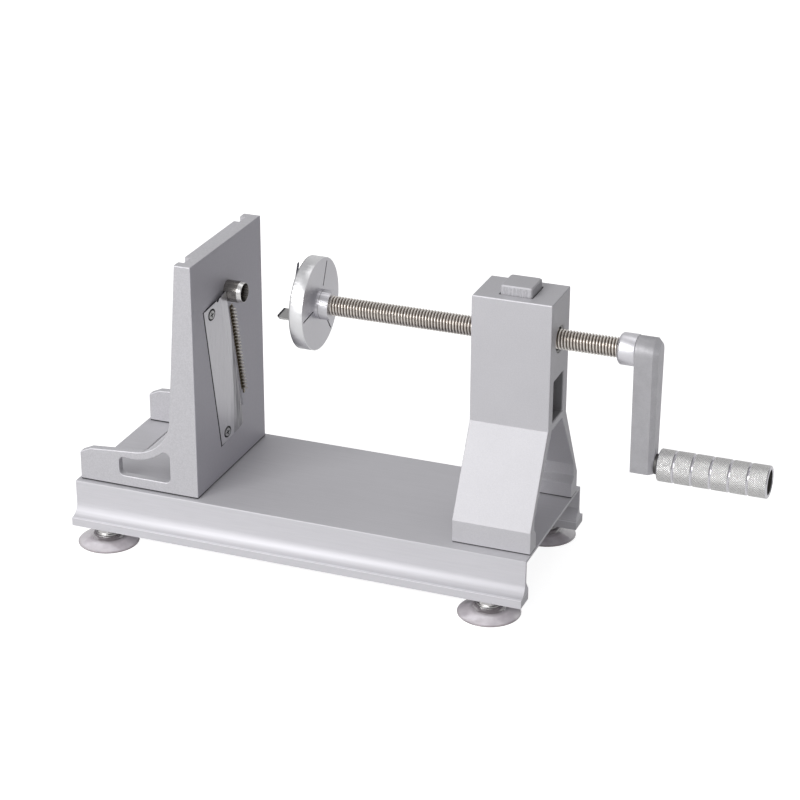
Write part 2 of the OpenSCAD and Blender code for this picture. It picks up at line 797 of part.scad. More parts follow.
module comb_blade() {
    color(steel) at_comb() {
        translate([-comb_depth, -comb_width / 2, -comb_length])
            cube([comb_depth, comb_width, comb_length]);
        for (i = [0 : comb_teeth - 1])
            translate([0, 0, -(i + 0.5) * comb_pitch - tooth_thickness / 2])
                linear_extrude(tooth_thickness) polygon([
                    [-comb_depth / 2, -comb_width / 2], [tooth_height, -comb_width / 4],
                    [-comb_depth / 2, comb_width / 2]]);
        translate([-comb_depth, -comb_tab_width / 2, -comb_length - comb_tab])
            cube([comb_depth + comb_tab_height, comb_tab_width, comb_tab + comb_pitch / 2]);
    }
}

module coring_tube() {
    back = tube_back_x - tube_nut_height - tube_tail;
    length = face_x + tube_reach - back;
    color(steel) turned_x(back) polygon([
        [tube_radius - tube_wall, 0], [tube_radius, 0], [tube_radius, length - tube_bevel],
        [tube_radius - tube_wall + edge_thickness, length], [tube_radius - tube_wall, length]]);
}

module tube_nut() {
    color(steel) translate([tube_back_x, 0, axis_z]) rotate([0, -90, 0])
        hex_nut(tube_nut_flats, tube_nut_height, tube_radius + bolt_clearance);
}

// The tower's section in Y and Z, with the channel's top at zero
module tower_outline() {
    head = head_width / 2;
    foot = tower_foot_width / 2;
    pad = foot - foot_pad_width;
    thin_share = (shoulder_height - leg_thin_height) / (shoulder_height - foot_side_height);
    thin_y = head + thin_share * (foot - head) - leg_foot_wall;
    side = [[head, tower_height], [head, shoulder_height], [foot, foot_side_height], [foot, 0],
            [pad, 0], [pad, foot_pad_height],
            [pad + foot_slope, foot_pad_height + foot_slope], [thin_y, leg_thin_height],
            [arch_crown_width / 2, arch_height]];
    other = [for (i = [len(side) - 1 : -1 : 0]) [-side[i][0], side[i][1]]];
    polygon(concat(side, other));
}

module tower() {
    shaft = button_width / 2;
    color(painted) difference() {
        along_x(tower_x, tower_depth) translate([0, base_top]) difference() {
            tower_outline();
            translate([-head_window_width / 2, head_window_sill])
                soft_rectangle([head_window_width, head_window_height], window_round);
        }
        translate([button_x - shaft, -shaft, shaft_floor_z])
            linear_extrude(button_top_z - shaft_floor_z)
                soft_rectangle([button_width, button_width], button_corner);
        bar_x(tower_x - overrun, tower_depth + 2 * overrun, thread_radius + guide_clearance);
        for (x = [tower_x - overrun, tower_end_x - bore_mouth_depth])
            bar_x(x, bore_mouth_depth + overrun, bore_mouth_radius);
        bolt_holes(tower_bolt_places, base_top - overrun, bolt_depth + 2 * overrun,
            tower_bolt_radius + bolt_clearance);
    }
}

// The button and its plunger: one block with a tall passage for the screw
module release_button() {
    half = plunger_width / 2;
    top_z = button_top_z - button_bevel;
    corner = button_corner;
    color(painted) translate([button_x, 0, 0]) difference() {
        union() {
            translate([-half, -half, plunger_floor_z]) linear_extrude(top_z - plunger_floor_z)
                soft_rectangle([plunger_width, plunger_width], corner);
            translate([0, 0, top_z]) linear_extrude(button_bevel,
                    scale = 1 - 2 * button_bevel / plunger_width)
                translate([-half, -half]) soft_rectangle([plunger_width, plunger_width], corner);
        }
        along_x(-button_width, 2 * button_width) {
            translate([0, axis_z + button_travel]) circle(r = passage_radius);
            translate([-passage_radius, nut_floor_z])
                square([2 * passage_radius, axis_z + button_travel - nut_floor_z]);
            translate([-nut_width / 2 - press_clearance, nut_floor_z])
                square([nut_width + 2 * press_clearance, nut_height + press_clearance]);
        }
    }
}

// The half nut: the screw's own thread, made larger by the clearance, is cut out of it
module half_nut() {
    nut_x = button_x - plunger_width / 2;
    first_turn = floor((nut_x - thread_x) / thread_pitch) - 1;
    turns = ceil(plunger_width / thread_pitch) + 2;
    color(brass) difference() {
        translate([nut_x, -nut_width / 2, nut_floor_z])
            cube([plunger_width, nut_width, nut_height]);
        threaded_bar(thread_x + first_turn * thread_pitch, turns,
            (thread_radius + thread_clearance) / facet_share,
            (root_radius + thread_clearance) / facet_share,
            root_radius - thread_depth, thread_runout + thread_pitch,
            thread_runout + thread_pitch);
    }
}

// The spring under the button: one tube swept along a helix
module button_spring() {
    sides = 6;
    steps = 12;
    rise = spring_room - 2 * spring_wire;
    count = spring_turns * steps;
    function wire_ring(i) = let (turn = 360 * i / steps) [for (k = [0 : sides - 1])
        let (r = spring_radius + spring_wire * cos(360 * k / sides))
        [button_x + r * cos(turn), r * sin(turn),
         shaft_floor_z + spring_wire + rise * i / count + spring_wire * sin(360 * k / sides)]];
    points = [for (i = [0 : count]) each wire_ring(i)];
    sleeve = [for (i = [0 : count - 1], k = [0 : sides - 1])
        let (a = i * sides + k, b = i * sides + (k + 1) % sides)
        each [[a, b, b + sides], [a, b + sides, a + sides]]];
    front = [for (k = [sides - 1 : -1 : 0]) k];
    back = [for (k = [0 : sides - 1]) count * sides + k];
    color(steel) polyhedron(points, concat(sleeve, [front, back]));
}

// A right-hand threaded bar along X. A root point of one turn is shared with the next
// turn, and a ring at each end leads into a plain journal.
module threaded_bar(x, turns, crest, root, journal, front_length, rear_length) {
    n = thread_steps;
    last = turns * n;
    end_x = x + (turns + 1) * thread_pitch;
    function spot(i, offset, r) = [x + thread_pitch * i / n + offset,
        r * cos(360 * i / n), axis_z + r * sin(360 * i / n)];
    function ring(at_x, from) = [for (i = [0 : n - 1])
        [at_x, journal * cos(360 * (from + i) / n), axis_z + journal * sin(360 * (from + i) / n)]];
    roots = [for (i = [0 : last + n]) spot(i, 0, root)];
    fronts = [for (i = [0 : last]) spot(i, (thread_pitch - thread_flat) / 2, crest)];
    backs = [for (i = [0 : last]) spot(i, (thread_pitch + thread_flat) / 2, crest)];
    f = len(roots);
    b = f + len(fronts);
    q = b + len(backs);
    p = q + n;
    flanks = [for (i = [0 : last - 1]) each [
        [i, f + i, f + i + 1], [i, f + i + 1, i + 1],
        [f + i, b + i, b + i + 1], [f + i, b + i + 1, f + i + 1],
        [b + i, i + n, i + n + 1], [b + i, i + n + 1, b + i + 1]]];
    starts = [[0, n, b], [0, b, f], [last, b + last, last + n], [last, f + last, b + last],
              [q, n, 0], [p, last, last + n]];
    front_neck = [for (i = [0 : n - 1]) let (j = (i + 1) % n) each [
        [q + i, i, i + 1], [q + i, i + 1, q + j]]];
    rear_neck = [for (i = [0 : n - 1]) let (j = (i + 1) % n) each [
        [last + i, p + i, p + j], [last + i, p + j, last + i + 1]]];
    front_ends = [for (i = [0 : n - 1]) let (j = (i + 1) % n) each [
        [q + 2 * n + i, q + i, q + j], [q + 2 * n + i, q + j, q + 2 * n + j]]];
    rear_ends = [for (i = [0 : n - 1]) let (j = (i + 1) % n) each [
        [p + i, p + 2 * n + i, p + 2 * n + j], [p + i, p + 2 * n + j, p + j]]];
    front_cap = [for (i = [0 : n - 1]) q + 2 * n + i];
    rear_cap = [for (i = [n - 1 : -1 : 0]) p + 2 * n + i];
    polyhedron(concat(roots, fronts, backs, ring(x - thread_runout, 0),
            ring(end_x + thread_runout, last), ring(x - front_length, 0),
            ring(end_x + rear_length, last)),
        concat(flanks, starts, front_neck, rear_neck, front_ends, rear_ends,
            [front_cap, rear_cap]));
}

module lead_screw() {
    end_x = thread_x + (thread_turns + 1) * thread_pitch;
    color(steel) threaded_bar(thread_x, thread_turns, thread_radius, root_radius, journal_radius,
        thread_x - disc_face_x, arm_x + journal_depth - end_x);
}

module drive_disc() {
    slot = prong_thickness + 2 * press_clearance;
    color(silver) difference() {
        union() {
            bar_x(disc_face_x, disc_thickness, disc_radius);
            bar_x(disc_rear_x, hub_length, hub_radius);
        }
        bar_x(disc_face_x - overrun, disc_thickness + hub_length + 2 * overrun, journal_radius);
        for (i = [0 : prong_count - 1]) at_prong(i)
            translate([disc_face_x - overrun, prong_slot_inner, -slot / 2])
                cube([disc_thickness + 2 * overrun, prong_slot_outer - prong_slot_inner, slot]);
        at_hub_screw() translate([0, 0, -overrun])
            cylinder(h = hub_radius + overrun, r = set_screw_radius + bolt_clearance);
    }
}

// Puts a radial frame of the disc into place, with Y pointing out
module at_prong(i) {
    translate([0, 0, axis_z]) rotate([prong_angle + i * 360 / prong_count, 0, 0]) children();
}

// A flat prong: a root that fills the disc's slot and a tip with one slanted corner
module prong(i) {
    low = prong_slot_inner + prong_step;
    high = prong_slot_outer - prong_step;
    tip_x = disc_face_x - prong_reach;
    color(steel) at_prong(i) translate([0, 0, -prong_thickness / 2])
        linear_extrude(prong_thickness) polygon([
            [disc_rear_x - prong_thickness, prong_slot_inner],
            [disc_rear_x - prong_thickness, prong_slot_outer],
            [disc_face_x, prong_slot_outer], [disc_face_x, high], [tip_x + prong_corner, high],
            [tip_x, high - prong_corner], [tip_x, low], [disc_face_x, low],
            [disc_face_x, prong_slot_inner]]);
}

// The hub's set screw stands on the screw's plain end, at the back of the part
module at_hub_screw() {
    translate([disc_rear_x + hub_length / 2, 0, axis_z]) rotate([hub_screw_turn, 0, 0])
        translate([0, journal_radius, 0])
            rotate([-90, 0, 0]) children();
}

module set_screw(length) {
    difference() {
        cylinder(h = length, r = set_screw_radius);
        translate([0, 0, length / 2]) cylinder(h = length, r = set_screw_radius / 2, $fn = 6);
    }
}

module hub_set_screw() {
    color(steel) at_hub_screw() set_screw(hub_screw_length);
}

module crank_collar() {
    color(silver) turned_x(collar_x) polygon([
        [journal_radius + running_clearance, 0], [collar_radius - collar_bevel, 0],
        [collar_radius, collar_bevel], [collar_radius, collar_length],
        [journal_radius + running_clearance, collar_length]]);
}

// The arm below its round top, drawn in Y and Z and made narrower by the bevel
module arm_outline(bevel) {
    top = arm_top_radius - bevel;
    low = arm_end_width / 2 - bevel;
    polygon([[-top, axis_z], [top, axis_z], [low, grip_z - arm_tail], [-low, grip_z - arm_tail]]);
}

module crank_arm() {
    body = arm_thickness - arm_bevel;
    skin = 0.01 * arm_bevel;
    color(dark_paint) difference() {
        union() {
            bar_x(arm_x, body, arm_top_radius);
            translate([arm_x + body, 0, axis_z]) rotate([0, 90, 0])
                cylinder(h = arm_bevel, r1 = arm_top_radius, r2 = arm_top_radius - arm_bevel);
            along_x(arm_x, body) arm_outline(0);
            hull() {
                along_x(arm_x + body - skin, skin) arm_outline(0);
                along_x(arm_face_x - skin, skin) arm_outline(arm_bevel);
            }
        }
        bar_x(arm_x - overrun, journal_depth + overrun, journal_radius);
        bar_x(arm_face_x - axle_depth, axle_depth + overrun, axle_radius, 0, grip_z);
        at_arm_screw() translate([0, 0, -overrun])
            cylinder(h = arm_top_radius + overrun, r = set_screw_radius + bolt_clearance);
    }
}

// The arm's set screw, at the back of the part like the hub's
module at_arm_screw() {
    translate([arm_x + journal_depth / 2, journal_radius, axis_z]) rotate([-90, 0, 0]) children();
}

module arm_set_screw() {
    color(steel) at_arm_screw() set_screw(arm_screw_length);
}

module axle_bolt() {
    shank = axle_depth + spacer_thickness + end_play + grip_length - grip_hollow_depth + end_play;
    color(steel) difference() {
        turned_x(arm_face_x - axle_depth, grip_z) polygon([
            [0, 0], [axle_radius, 0], [axle_radius, shank], [axle_head_radius, shank],
            [axle_head_radius, shank + axle_head_height], [0, shank + axle_head_height]]);
        translate([arm_face_x - axle_depth + shank + axle_head_height - axle_socket_depth, 0, grip_z])
            rotate([0, 90, 0]) cylinder(h = axle_socket_depth + overrun,
                r = axle_socket_flats / 2 / cos(30), $fn = 6);
    }
}

module grip_spacer() {
    color(steel) turned_x(arm_face_x, grip_z) translate([axle_radius + bolt_clearance, 0])
        square([spacer_radius - axle_radius - bolt_clearance, spacer_thickness]);
}

module crank_grip() {
    hub = grip_length - grip_hollow_depth;
    bore = axle_radius + running_clearance;
    color(silver) turned_x(grip_x, grip_z) difference() {
        polygon([[bore, 0], [grip_radius - grip_bevel, 0], [grip_radius, grip_bevel],
                 [grip_radius, grip_length - grip_bevel], [grip_radius - grip_bevel, grip_length],
                 [grip_hollow_radius, grip_length], [grip_hollow_radius, hub], [bore, hub]]);
        for (i = [0 : grip_grooves - 1])
            translate([grip_radius - grip_groove_depth, groove_start + i * groove_pitch])
                square([grip_radius, grip_groove_width]);
    }
}

base_channel();
blade_stand();
slicing_blade();
blade_screws();
comb_blade();
coring_tube();
tube_nut();
color(steel) bolts_from_below(stand_bolt_places, stand_bolt_radius);  // stand_bolts
tower();
color(steel) bolts_from_below(tower_bolt_places, tower_bolt_radius);  // tower_bolts
suction_cup(cup_places[0]);  // suction_cup_1
suction_cup(cup_places[1]);  // suction_cup_2
suction_cup(cup_places[2]);  // suction_cup_3
suction_cup(cup_places[3]);  // suction_cup_4
foot_studs();
foot_washers();
foot_nuts();
release_button();
half_nut();
button_spring();
lead_screw();
drive_disc();
prong(0);  // prong_1
prong(1);  // prong_2
prong(2);  // prong_3
hub_set_screw();
crank_collar();
crank_arm();
arm_set_screw();
axle_bolt();
grip_spacer();
crank_grip();
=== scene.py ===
"""Dresses the vegetable shredder. The CAD nodes get materials and rounded edges, a few of them
get finer pieces in their place, and the camera and the studio follow the photograph. Lengths are
in mm, unless a comment says metres."""
import math

import bmesh
import bpy
from mathutils import Matrix, Vector


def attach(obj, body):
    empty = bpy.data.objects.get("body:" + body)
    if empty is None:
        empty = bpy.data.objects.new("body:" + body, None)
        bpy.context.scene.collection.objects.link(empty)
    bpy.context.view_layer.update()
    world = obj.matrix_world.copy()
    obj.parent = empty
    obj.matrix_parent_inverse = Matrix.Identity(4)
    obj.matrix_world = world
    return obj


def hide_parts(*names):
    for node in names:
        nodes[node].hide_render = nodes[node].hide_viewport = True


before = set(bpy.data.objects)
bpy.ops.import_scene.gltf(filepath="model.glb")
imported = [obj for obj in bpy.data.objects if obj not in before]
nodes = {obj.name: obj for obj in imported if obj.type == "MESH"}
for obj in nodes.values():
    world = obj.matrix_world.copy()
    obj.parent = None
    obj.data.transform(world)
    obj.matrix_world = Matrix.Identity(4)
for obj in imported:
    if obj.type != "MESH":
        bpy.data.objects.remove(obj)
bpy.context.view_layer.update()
MM = 0.001


# Places that come from the frame
def span(node, axis):
    """Lowest and highest place of a CAD node along an axis."""
    places = [vertex.co["XYZ".index(axis)] / MM for vertex in nodes[node].data.vertices]
    return min(places), max(places)


def middle(node, axis):
    return sum(span(node, axis)) / 2


AXIS_Z = middle("lead_screw", "Z")
GRIP_RADIUS = 12.75
GRIP_Z = span("crank_grip", "Z")[0] + GRIP_RADIUS
STAND_FACE = span("blade_stand", "X")[1]
BASE_TOP = span("base_channel", "Z")[1]
BUTTON_X = middle("release_button", "X")
TOWER_DISC_SIDE, TOWER_CRANK_SIDE = span("tower", "X")
DISC_FRONT, HUB_END = span("drive_disc", "X")

# Directions that edges and faces are picked by
UP, RIGHT, FRONT = (0, 0, 1), (1, 0, 0), (0, -1, 0)
FRONT_UP, FRONT_RIGHT = (0, -0.71, 0.71), (0.71, -0.71, 0)


# Camera at the photograph's viewing angle
AZIMUTH, ELEVATION, ROLL = math.radians(21.07), math.radians(23.93), math.radians(0.19)
CAMERA_METRES = (0.58058, -1.5618, 0.87586)
FOCAL_PIXELS, PICTURE_PIXELS, SENSOR = 2312.7, 800, 36


def make_camera():
    level = math.cos(ELEVATION)
    back = Vector((math.sin(AZIMUTH) * level, -math.cos(AZIMUTH) * level, math.sin(ELEVATION)))
    right = Vector((math.cos(AZIMUTH), math.sin(AZIMUTH), 0))
    up = back.cross(right)
    rolled_right = right * math.cos(ROLL) + up * math.sin(ROLL)
    rolled_up = up * math.cos(ROLL) - right * math.sin(ROLL)
    data = bpy.data.cameras.new("camera")
    data.sensor_width = SENSOR
    data.lens = FOCAL_PIXELS * SENSOR / PICTURE_PIXELS
    data.clip_start, data.clip_end = 0.1, 60
    camera = bpy.data.objects.new("camera", data)
    turn = Matrix((rolled_right, rolled_up, back)).transposed().to_4x4()
    camera.matrix_world = Matrix.Translation(CAMERA_METRES) @ turn
    bpy.context.scene.collection.objects.link(camera)
    bpy.context.scene.camera = camera


# Node helpers
class NodeTree:
    """Builds the node tree of a material or of the world."""

    def __init__(self, tree):
        self.tree = tree

    def node(self, kind, **values):
        made = self.tree.nodes.new(kind)
        for key, value in values.items():
            setattr(made, key, value)
        return made

    def link(self, a, b):
        self.tree.links.new(a, b)

    def feed(self, value, socket):
        """Links another socket to this one, or sets a constant on it."""
        if hasattr(value, "links"):
            self.link(value, socket)
        else:
            socket.default_value = value

    def math(self, operation, a, b=0.0):
        made = self.node("ShaderNodeMath", operation=operation)
        self.feed(a, made.inputs[0])
        self.feed(b, made.inputs[1])
        return made.outputs[0]

    def product(self, first, *others):
        for other in others:
            first = self.math("MULTIPLY", first, other)
        return first

    def distance(self, a, b):
        squares = self.math("ADD", self.math("MULTIPLY", a, a), self.math("MULTIPLY", b, b))
        return self.math("SQRT", squares)

    def dot(self, vector, direction):
        made = self.node("ShaderNodeVectorMath", operation="DOT_PRODUCT")
        self.link(vector, made.inputs[0])
        made.inputs[1].default_value = direction
        return made.outputs["Value"]

    def spread(self, fac, low, high, start=0.3, end=0.7):
        """A value that runs from low to high while fac goes from start to end."""
        made = self.node("ShaderNodeMapRange")
        for i, value in enumerate((fac, start, end, low, high)):
            self.feed(value, made.inputs[i])
        return made.outputs[0]

    def ramp(self, fac, dark, light, start=0.3, end=0.7):
        """A colour that runs from dark to light while fac goes from start to end."""
        made = self.node("ShaderNodeValToRGB")
        for stop, place, colour in zip(made.color_ramp.elements, (start, end), (dark, light)):
            stop.position, stop.color = place, (*colour, 1)
        self.link(fac, made.inputs[0])
        return made.outputs[0]

    def blend(self, mask, under, over, mode="MIX"):
        made = self.node("ShaderNodeMix", data_type="RGBA", blend_type=mode)
        for name, value in (("Factor", mask), ("A", under), ("B", over)):
            self.feed(value, made.inputs[name])
        return made.outputs["Result"]


class Look(NodeTree):
    """A Principled material whose detail comes from procedural nodes in object space."""

    def __init__(self, name, colour, metallic=0.0, roughness=0.5, **sockets):
        self.material = bpy.data.materials.new(name)
        self.material.use_nodes = True
        super().__init__(self.material.node_tree)
        self.shader = self.tree.nodes["Principled BSDF"]
        self.set("Base Color", (*colour, 1))
        self.set("Metallic", metallic)
        self.set("Roughness", roughness)
        for key, value in sockets.items():
            self.set(key.replace("_", " "), value)
        source = self.node("ShaderNodeTexCoord")
        self.coordinates, self.normal = source.outputs["Object"], source.outputs["Normal"]
        self.height = None

    def set(self, socket, value):
        self.shader.inputs[socket].default_value = value

    def noise(self, size, detail=3.0, stretch=(1, 1, 1), rough=0.5):
        """Noise whose grain is size mm."""
        mapping = self.node("ShaderNodeMapping")
        mapping.inputs["Scale"].default_value = stretch
        self.link(self.coordinates, mapping.inputs["Vector"])
        made = self.node("ShaderNodeTexNoise")
        self.link(mapping.outputs["Vector"], made.inputs["Vector"])
        made.inputs["Scale"].default_value = 1 / (size * MM)
        made.inputs["Detail"].default_value = detail
        made.inputs["Roughness"].default_value = rough
        return made.outputs["Fac"]

    def axis(self, name):
        made = self.node("ShaderNodeSeparateXYZ")
        self.link(self.coordinates, made.inputs[0])
        return made.outputs[name]

    def off(self, name, place):
        """Signed distance along an axis from a place in mm."""
        return self.math("SUBTRACT", self.axis(name), place * MM)

    def radius(self):
        """Distance from the lead screw's axis."""
        return self.distance(self.axis("Y"), self.off("Z", AXIS_Z))

    def above(self, value, start, end):
        """A mask that runs from 0 at start mm to 1 at end mm."""
        return self.spread(value, 0.0, 1.0, start * MM, end * MM)

    def between(self, value, low, high, soft=0.1):
        """A mask that is 1 from low mm to high mm."""
        return self.product(self.above(value, low - soft, low + soft),
                            self.above(value, high + soft, high - soft))

    def facing(self, direction, start, end):
        """A mask that runs from 0 to 1 as the surface turns towards a direction of the object."""
        return self.spread(self.dot(self.normal, direction), 0.0, 1.0, start, end)

    def strip(self, mesh, front, width, soft=0.15, shortest=3.0):
        """A mask along those borders of a flat face that look towards -Y."""
        borders = {}
        for face in mesh.polygons:
            same_way = face.normal.dot(front.normal) > 0.9999
            if same_way and abs((face.center - front.center).dot(front.normal)) < 0.01 * MM:
                corners = list(face.vertices)
                for a, b in zip(corners, corners[1:] + corners[:1]):
                    if (b, a) in borders:
                        del borders[b, a]
                    else:
                        borders[a, b] = True
        mask, done = 0.0, []
        for a, b in borders:
            a, b = mesh.vertices[a].co, mesh.vertices[b].co
            out = (b - a).cross(front.normal).normalized()
            known = any(out.dot(other) > 0.999 for other in done)
            if out.y > -0.3 or (b - a).length < shortest * MM or known:
                continue
            done.append(out)
            inwards = self.math("SUBTRACT", self.dot(self.coordinates, out), out.dot(a))
            mask = self.math("MAXIMUM", mask, self.above(inwards, -width - soft, -width + soft))
        return mask

    def base(self, colour):
        self.link(colour, self.shader.inputs["Base Color"])
        self.colour = colour

    def tint(self, fac, dark, light, start=0.3, end=0.7):
        """Base colour runs from dark to light with fac."""
        self.base(self.ramp(fac, dark, light, start, end))

    def shade(self, mask, colour):
        """Where the mask is 1, paints a colour, or scales the present one when given a number."""
        if isinstance(colour, (int, float)):
            self.base(self.blend(mask, self.colour, (colour, colour, colour, 1), "MULTIPLY"))
        else:
            self.base(self.blend(mask, self.colour, (*colour, 1)))

    def scaled(self, factor):
        """The present colour times a factor."""
        made = self.node("ShaderNodeVectorMath", operation="SCALE")
        self.link(self.colour, made.inputs[0])
        self.link(factor, made.inputs["Scale"])
        return made.outputs[0]

    def rough(self, fac, low, high, start=0.3, end=0.7):
        self.link(self.spread(fac, low, high, start, end), self.shader.inputs["Roughness"])

    def bump(self, height, depth):
        """Adds relief of depth mm, on top of any relief already there."""
        made = self.node("ShaderNodeBump")
        made.inputs["Strength"].default_value = 1.0
        made.inputs["Distance"].default_value = depth * MM
        self.link(height, made.inputs["Height"])
        if self.height is not None:
            self.link(self.height, made.inputs["Normal"])
        self.height = made.outputs[0]
        self.link(self.height, self.shader.inputs["Normal"])

    def turned(self, amount, axis="X"):
        """Turned metal: highlights run out from the axis."""
        self.set("Anisotropic", amount)
        tangent = self.node("ShaderNodeTangent", direction_type="RADIAL", axis=axis)
        self.link(tangent.outputs[0], self.shader.inputs["Tangent"])


def grey(value, warm=None):
    """A grey of this value: a little cool, or with a share of warmth from 0 for neutral."""
    if warm is None:
        return (value, value * 0.988, value * 1.03)
    return (value * (1 + warm), value, value * (1 - warm))


# Coats and metals in general
# Dark colours of painted shade: in gaps, recesses and joints, and on the chamfers round the screw
# heads
PAINTED_SHADE_DARK = (0.04, 0.04, 0.045)
PAINTED_SEAT_SHADE = (0.13, 0.13, 0.135)


def textured_coat(name, value, grain, depth, contrast=0.06, rough=(0.42, 0.56), swell=0.04):
    """Silver hammer coat: fine grain, soft swell and a faint large mottle."""
    look = Look(name, grey(value), 0.3, 0.5)
    fine = look.noise(grain, 4)
    look.tint(fine, grey(value * (1 - contrast)), grey(value * (1 + contrast)), 0.35, 0.65)
    look.shade(look.spread(look.noise(30, 2), 0.0, 0.5), 0.95)
    look.rough(look.noise(grain * 2.2, 2), *rough)
    look.bump(fine, depth)
    look.bump(look.noise(14, 2), swell)
    return look


def brushed(name, value, rough, warm=None, metallic=1.0, stretch=(1, 1, 1), depth=0.003, size=3.0,
            contrast=0.08):
    """Metal with brush lines that run along the axis where stretch is small."""
    look = Look(name, grey(value, warm), metallic, rough[0])
    lines = look.noise(size, 5, stretch, 0.65)
    look.tint(lines, grey(value * (1 - contrast), warm), grey(value * (1 + contrast), warm))
    look.rough(lines, *rough)
    look.bump(lines, depth)
    return look


def painted_contact_shadow(look, height=1.15, soft=0.4):
    """Painted shade: the dark line where a casting stands on the channel."""
    top = BASE_TOP + height
    look.shade(look.above(look.axis("Z"), top, top - soft), PAINTED_SHADE_DARK)


def blade_edge_distance(look, top=198.25, lean=0.2139, side=7.64):
    """Distance behind the blade's leaning cutting edge, along Y."""
    drop = look.math("SUBTRACT", top * MM, look.axis("Z"))
    edge = look.math("SUBTRACT", look.math("MULTIPLY", drop, lean), side * MM)
    return look.math("SUBTRACT", edge, look.axis("Y"))


# The castings and the channel
def stand_coat():
    look = textured_coat("silver_coat", 0.62, grain=1.1, depth=0.025, contrast=0.055)
    x, z = look.axis("X"), look.axis("Z")
    look.shade(look.above(x, STAND_FACE - 0.4, STAND_FACE - 0.1), (0.525, 0.515, 0.56))
    # Painted shade: the walls of the blade's recess are drawn as a dark rim
    behind = blade_edge_distance(look)
    recess = look.product(look.above(behind, 18, 20), look.above(behind, 45, 43),
                          look.between(x, STAND_FACE - 3.4, STAND_FACE - 0.45),
                          look.between(z, 60, 215))
    look.shade(recess, PAINTED_SHADE_DARK)
    # Painted highlights on the front top edges and the front right edges
    look.shade(look.facing(FRONT_UP, 0.75, 0.92), 1.3)
    look.shade(look.facing(FRONT_RIGHT, 0.78, 0.92), 1.25)
    painted_contact_shadow(look, height=1.5)
    return look.material


def tower_coat():
    look = textured_coat("silver_coat_sand", 0.63, grain=0.9, depth=0.008, contrast=0.03,
                         rough=(0.48, 0.50), swell=0.02)
    # Painted shade on the faces that look up, which also get a finer sand grain
    raised = look.facing(UP, 0.15, 0.35)
    look.shade(raised, 0.85)
    sand = look.spread(look.noise(0.8, 4, rough=0.6), 0.975, 1.015, 0.35, 0.65)
    look.base(look.blend(raised, look.colour, look.scaled(sand)))
    # Painted shade inside the head's window
    wall = 1.2
    window = look.product(look.between(look.axis("Z"), 137, 188),
                          look.between(look.axis("Y"), -13.6, 13.6),
                          look.between(look.axis("X"), TOWER_DISC_SIDE + wall,
                                       TOWER_CRANK_SIDE - wall))
    look.shade(window, 0.55)
    head = look.above(look.axis("Z"), 225, 226)
    # Painted highlight on the head's front top edge
    look.shade(look.product(head, look.facing(FRONT_UP, 0.75, 0.92)), 1.5)
    # Painted shade in the gap round the button's square shaft
    aside = look.math("MAXIMUM", look.math("ABSOLUTE", look.axis("Y")),
                      look.math("ABSOLUTE", look.off("X", BUTTON_X)))
    look.shade(look.product(head, look.above(aside, 13.75, 13.55)), PAINTED_SHADE_DARK)
    painted_contact_shadow(look)
    return look.material


def crank_coat():
    look = textured_coat("arm_coat", 0.50, grain=0.8, depth=0.02, contrast=0.04)
    # Painted light on the right face, and painted shade along its edge with the front face
    look.shade(look.facing(RIGHT, 0.3, 0.8), 1.64)
    look.shade(look.facing((0.72, -0.68, 0), 0.965, 0.992), 0.78)
    look.shade(look.spread(look.noise(11, 3, rough=0.6), 0.0, 1.0, 0.4, 0.65), 0.92)
    # Painted shade on the faces that look up
    look.shade(look.facing(UP, 0.2, 0.7), 0.85)
    return look.material


def button_look():
    look = textured_coat("button_coat", 0.51, grain=0.5, depth=0.02)
    # Painted highlight on the front top edge
    look.shade(look.facing(FRONT_UP, 0.8, 0.95), 1.35)
    marks = look.spread(look.noise(1.6, 2, stretch=(1, 1, 0.3)), 0.0, 1.0, 0.45, 0.6)
    look.shade(look.product(look.facing(FRONT, 0.8, 0.95), marks), 1.25)
    return look.material


def channel_metal():
    look = brushed("channel_satin", 0.70, rough=(0.56, 0.66), metallic=0.3, stretch=(0.04, 1, 1),
                   depth=0.004, size=1.6, contrast=0.035)
    # Painted shade on the faces that look up
    look.shade(look.facing(UP, 0.6, 0.9), 0.88)
    # Painted highlights: light caught by the cove and by the lip under it
    z = look.axis("Z")
    look.shade(look.product(look.above(z, 19.3, 21), look.above(z, 29, 23)), 1.14)
    look.shade(look.between(z, 18.7, 19.4), 1.3)
    return look.material


# The blade, its screws, the comb and the coring tube
def screw_places():
    """Height and side of each blade screw's head, in metres."""
    head_depth = 1.5
    points = [vertex.co for vertex in nodes["blade_screws"].data.vertices]
    halfway = sum(p.z for p in points) / len(points)
    for group in ([p for p in points if p.z > halfway], [p for p in points if p.z <= halfway]):
        front = max(p.x for p in group)
        head = [p for p in group if p.x > front - head_depth * MM]
        yield [(min(p[k] for p in head) + max(p[k] for p in head)) / 2 for k in (2, 1)]


def screw_metal():
    look = brushed("screw_head_steel", 0.50, rough=(0.22, 0.32), warm=0.0)
    front = max(nodes["blade_screws"].data.polygons, key=lambda face: face.normal.x)
    # Painted shade on the chamfer round each head
    look.shade(look.facing(front.normal, 0.97, 0.9), PAINTED_SEAT_SHADE)
    return look.material


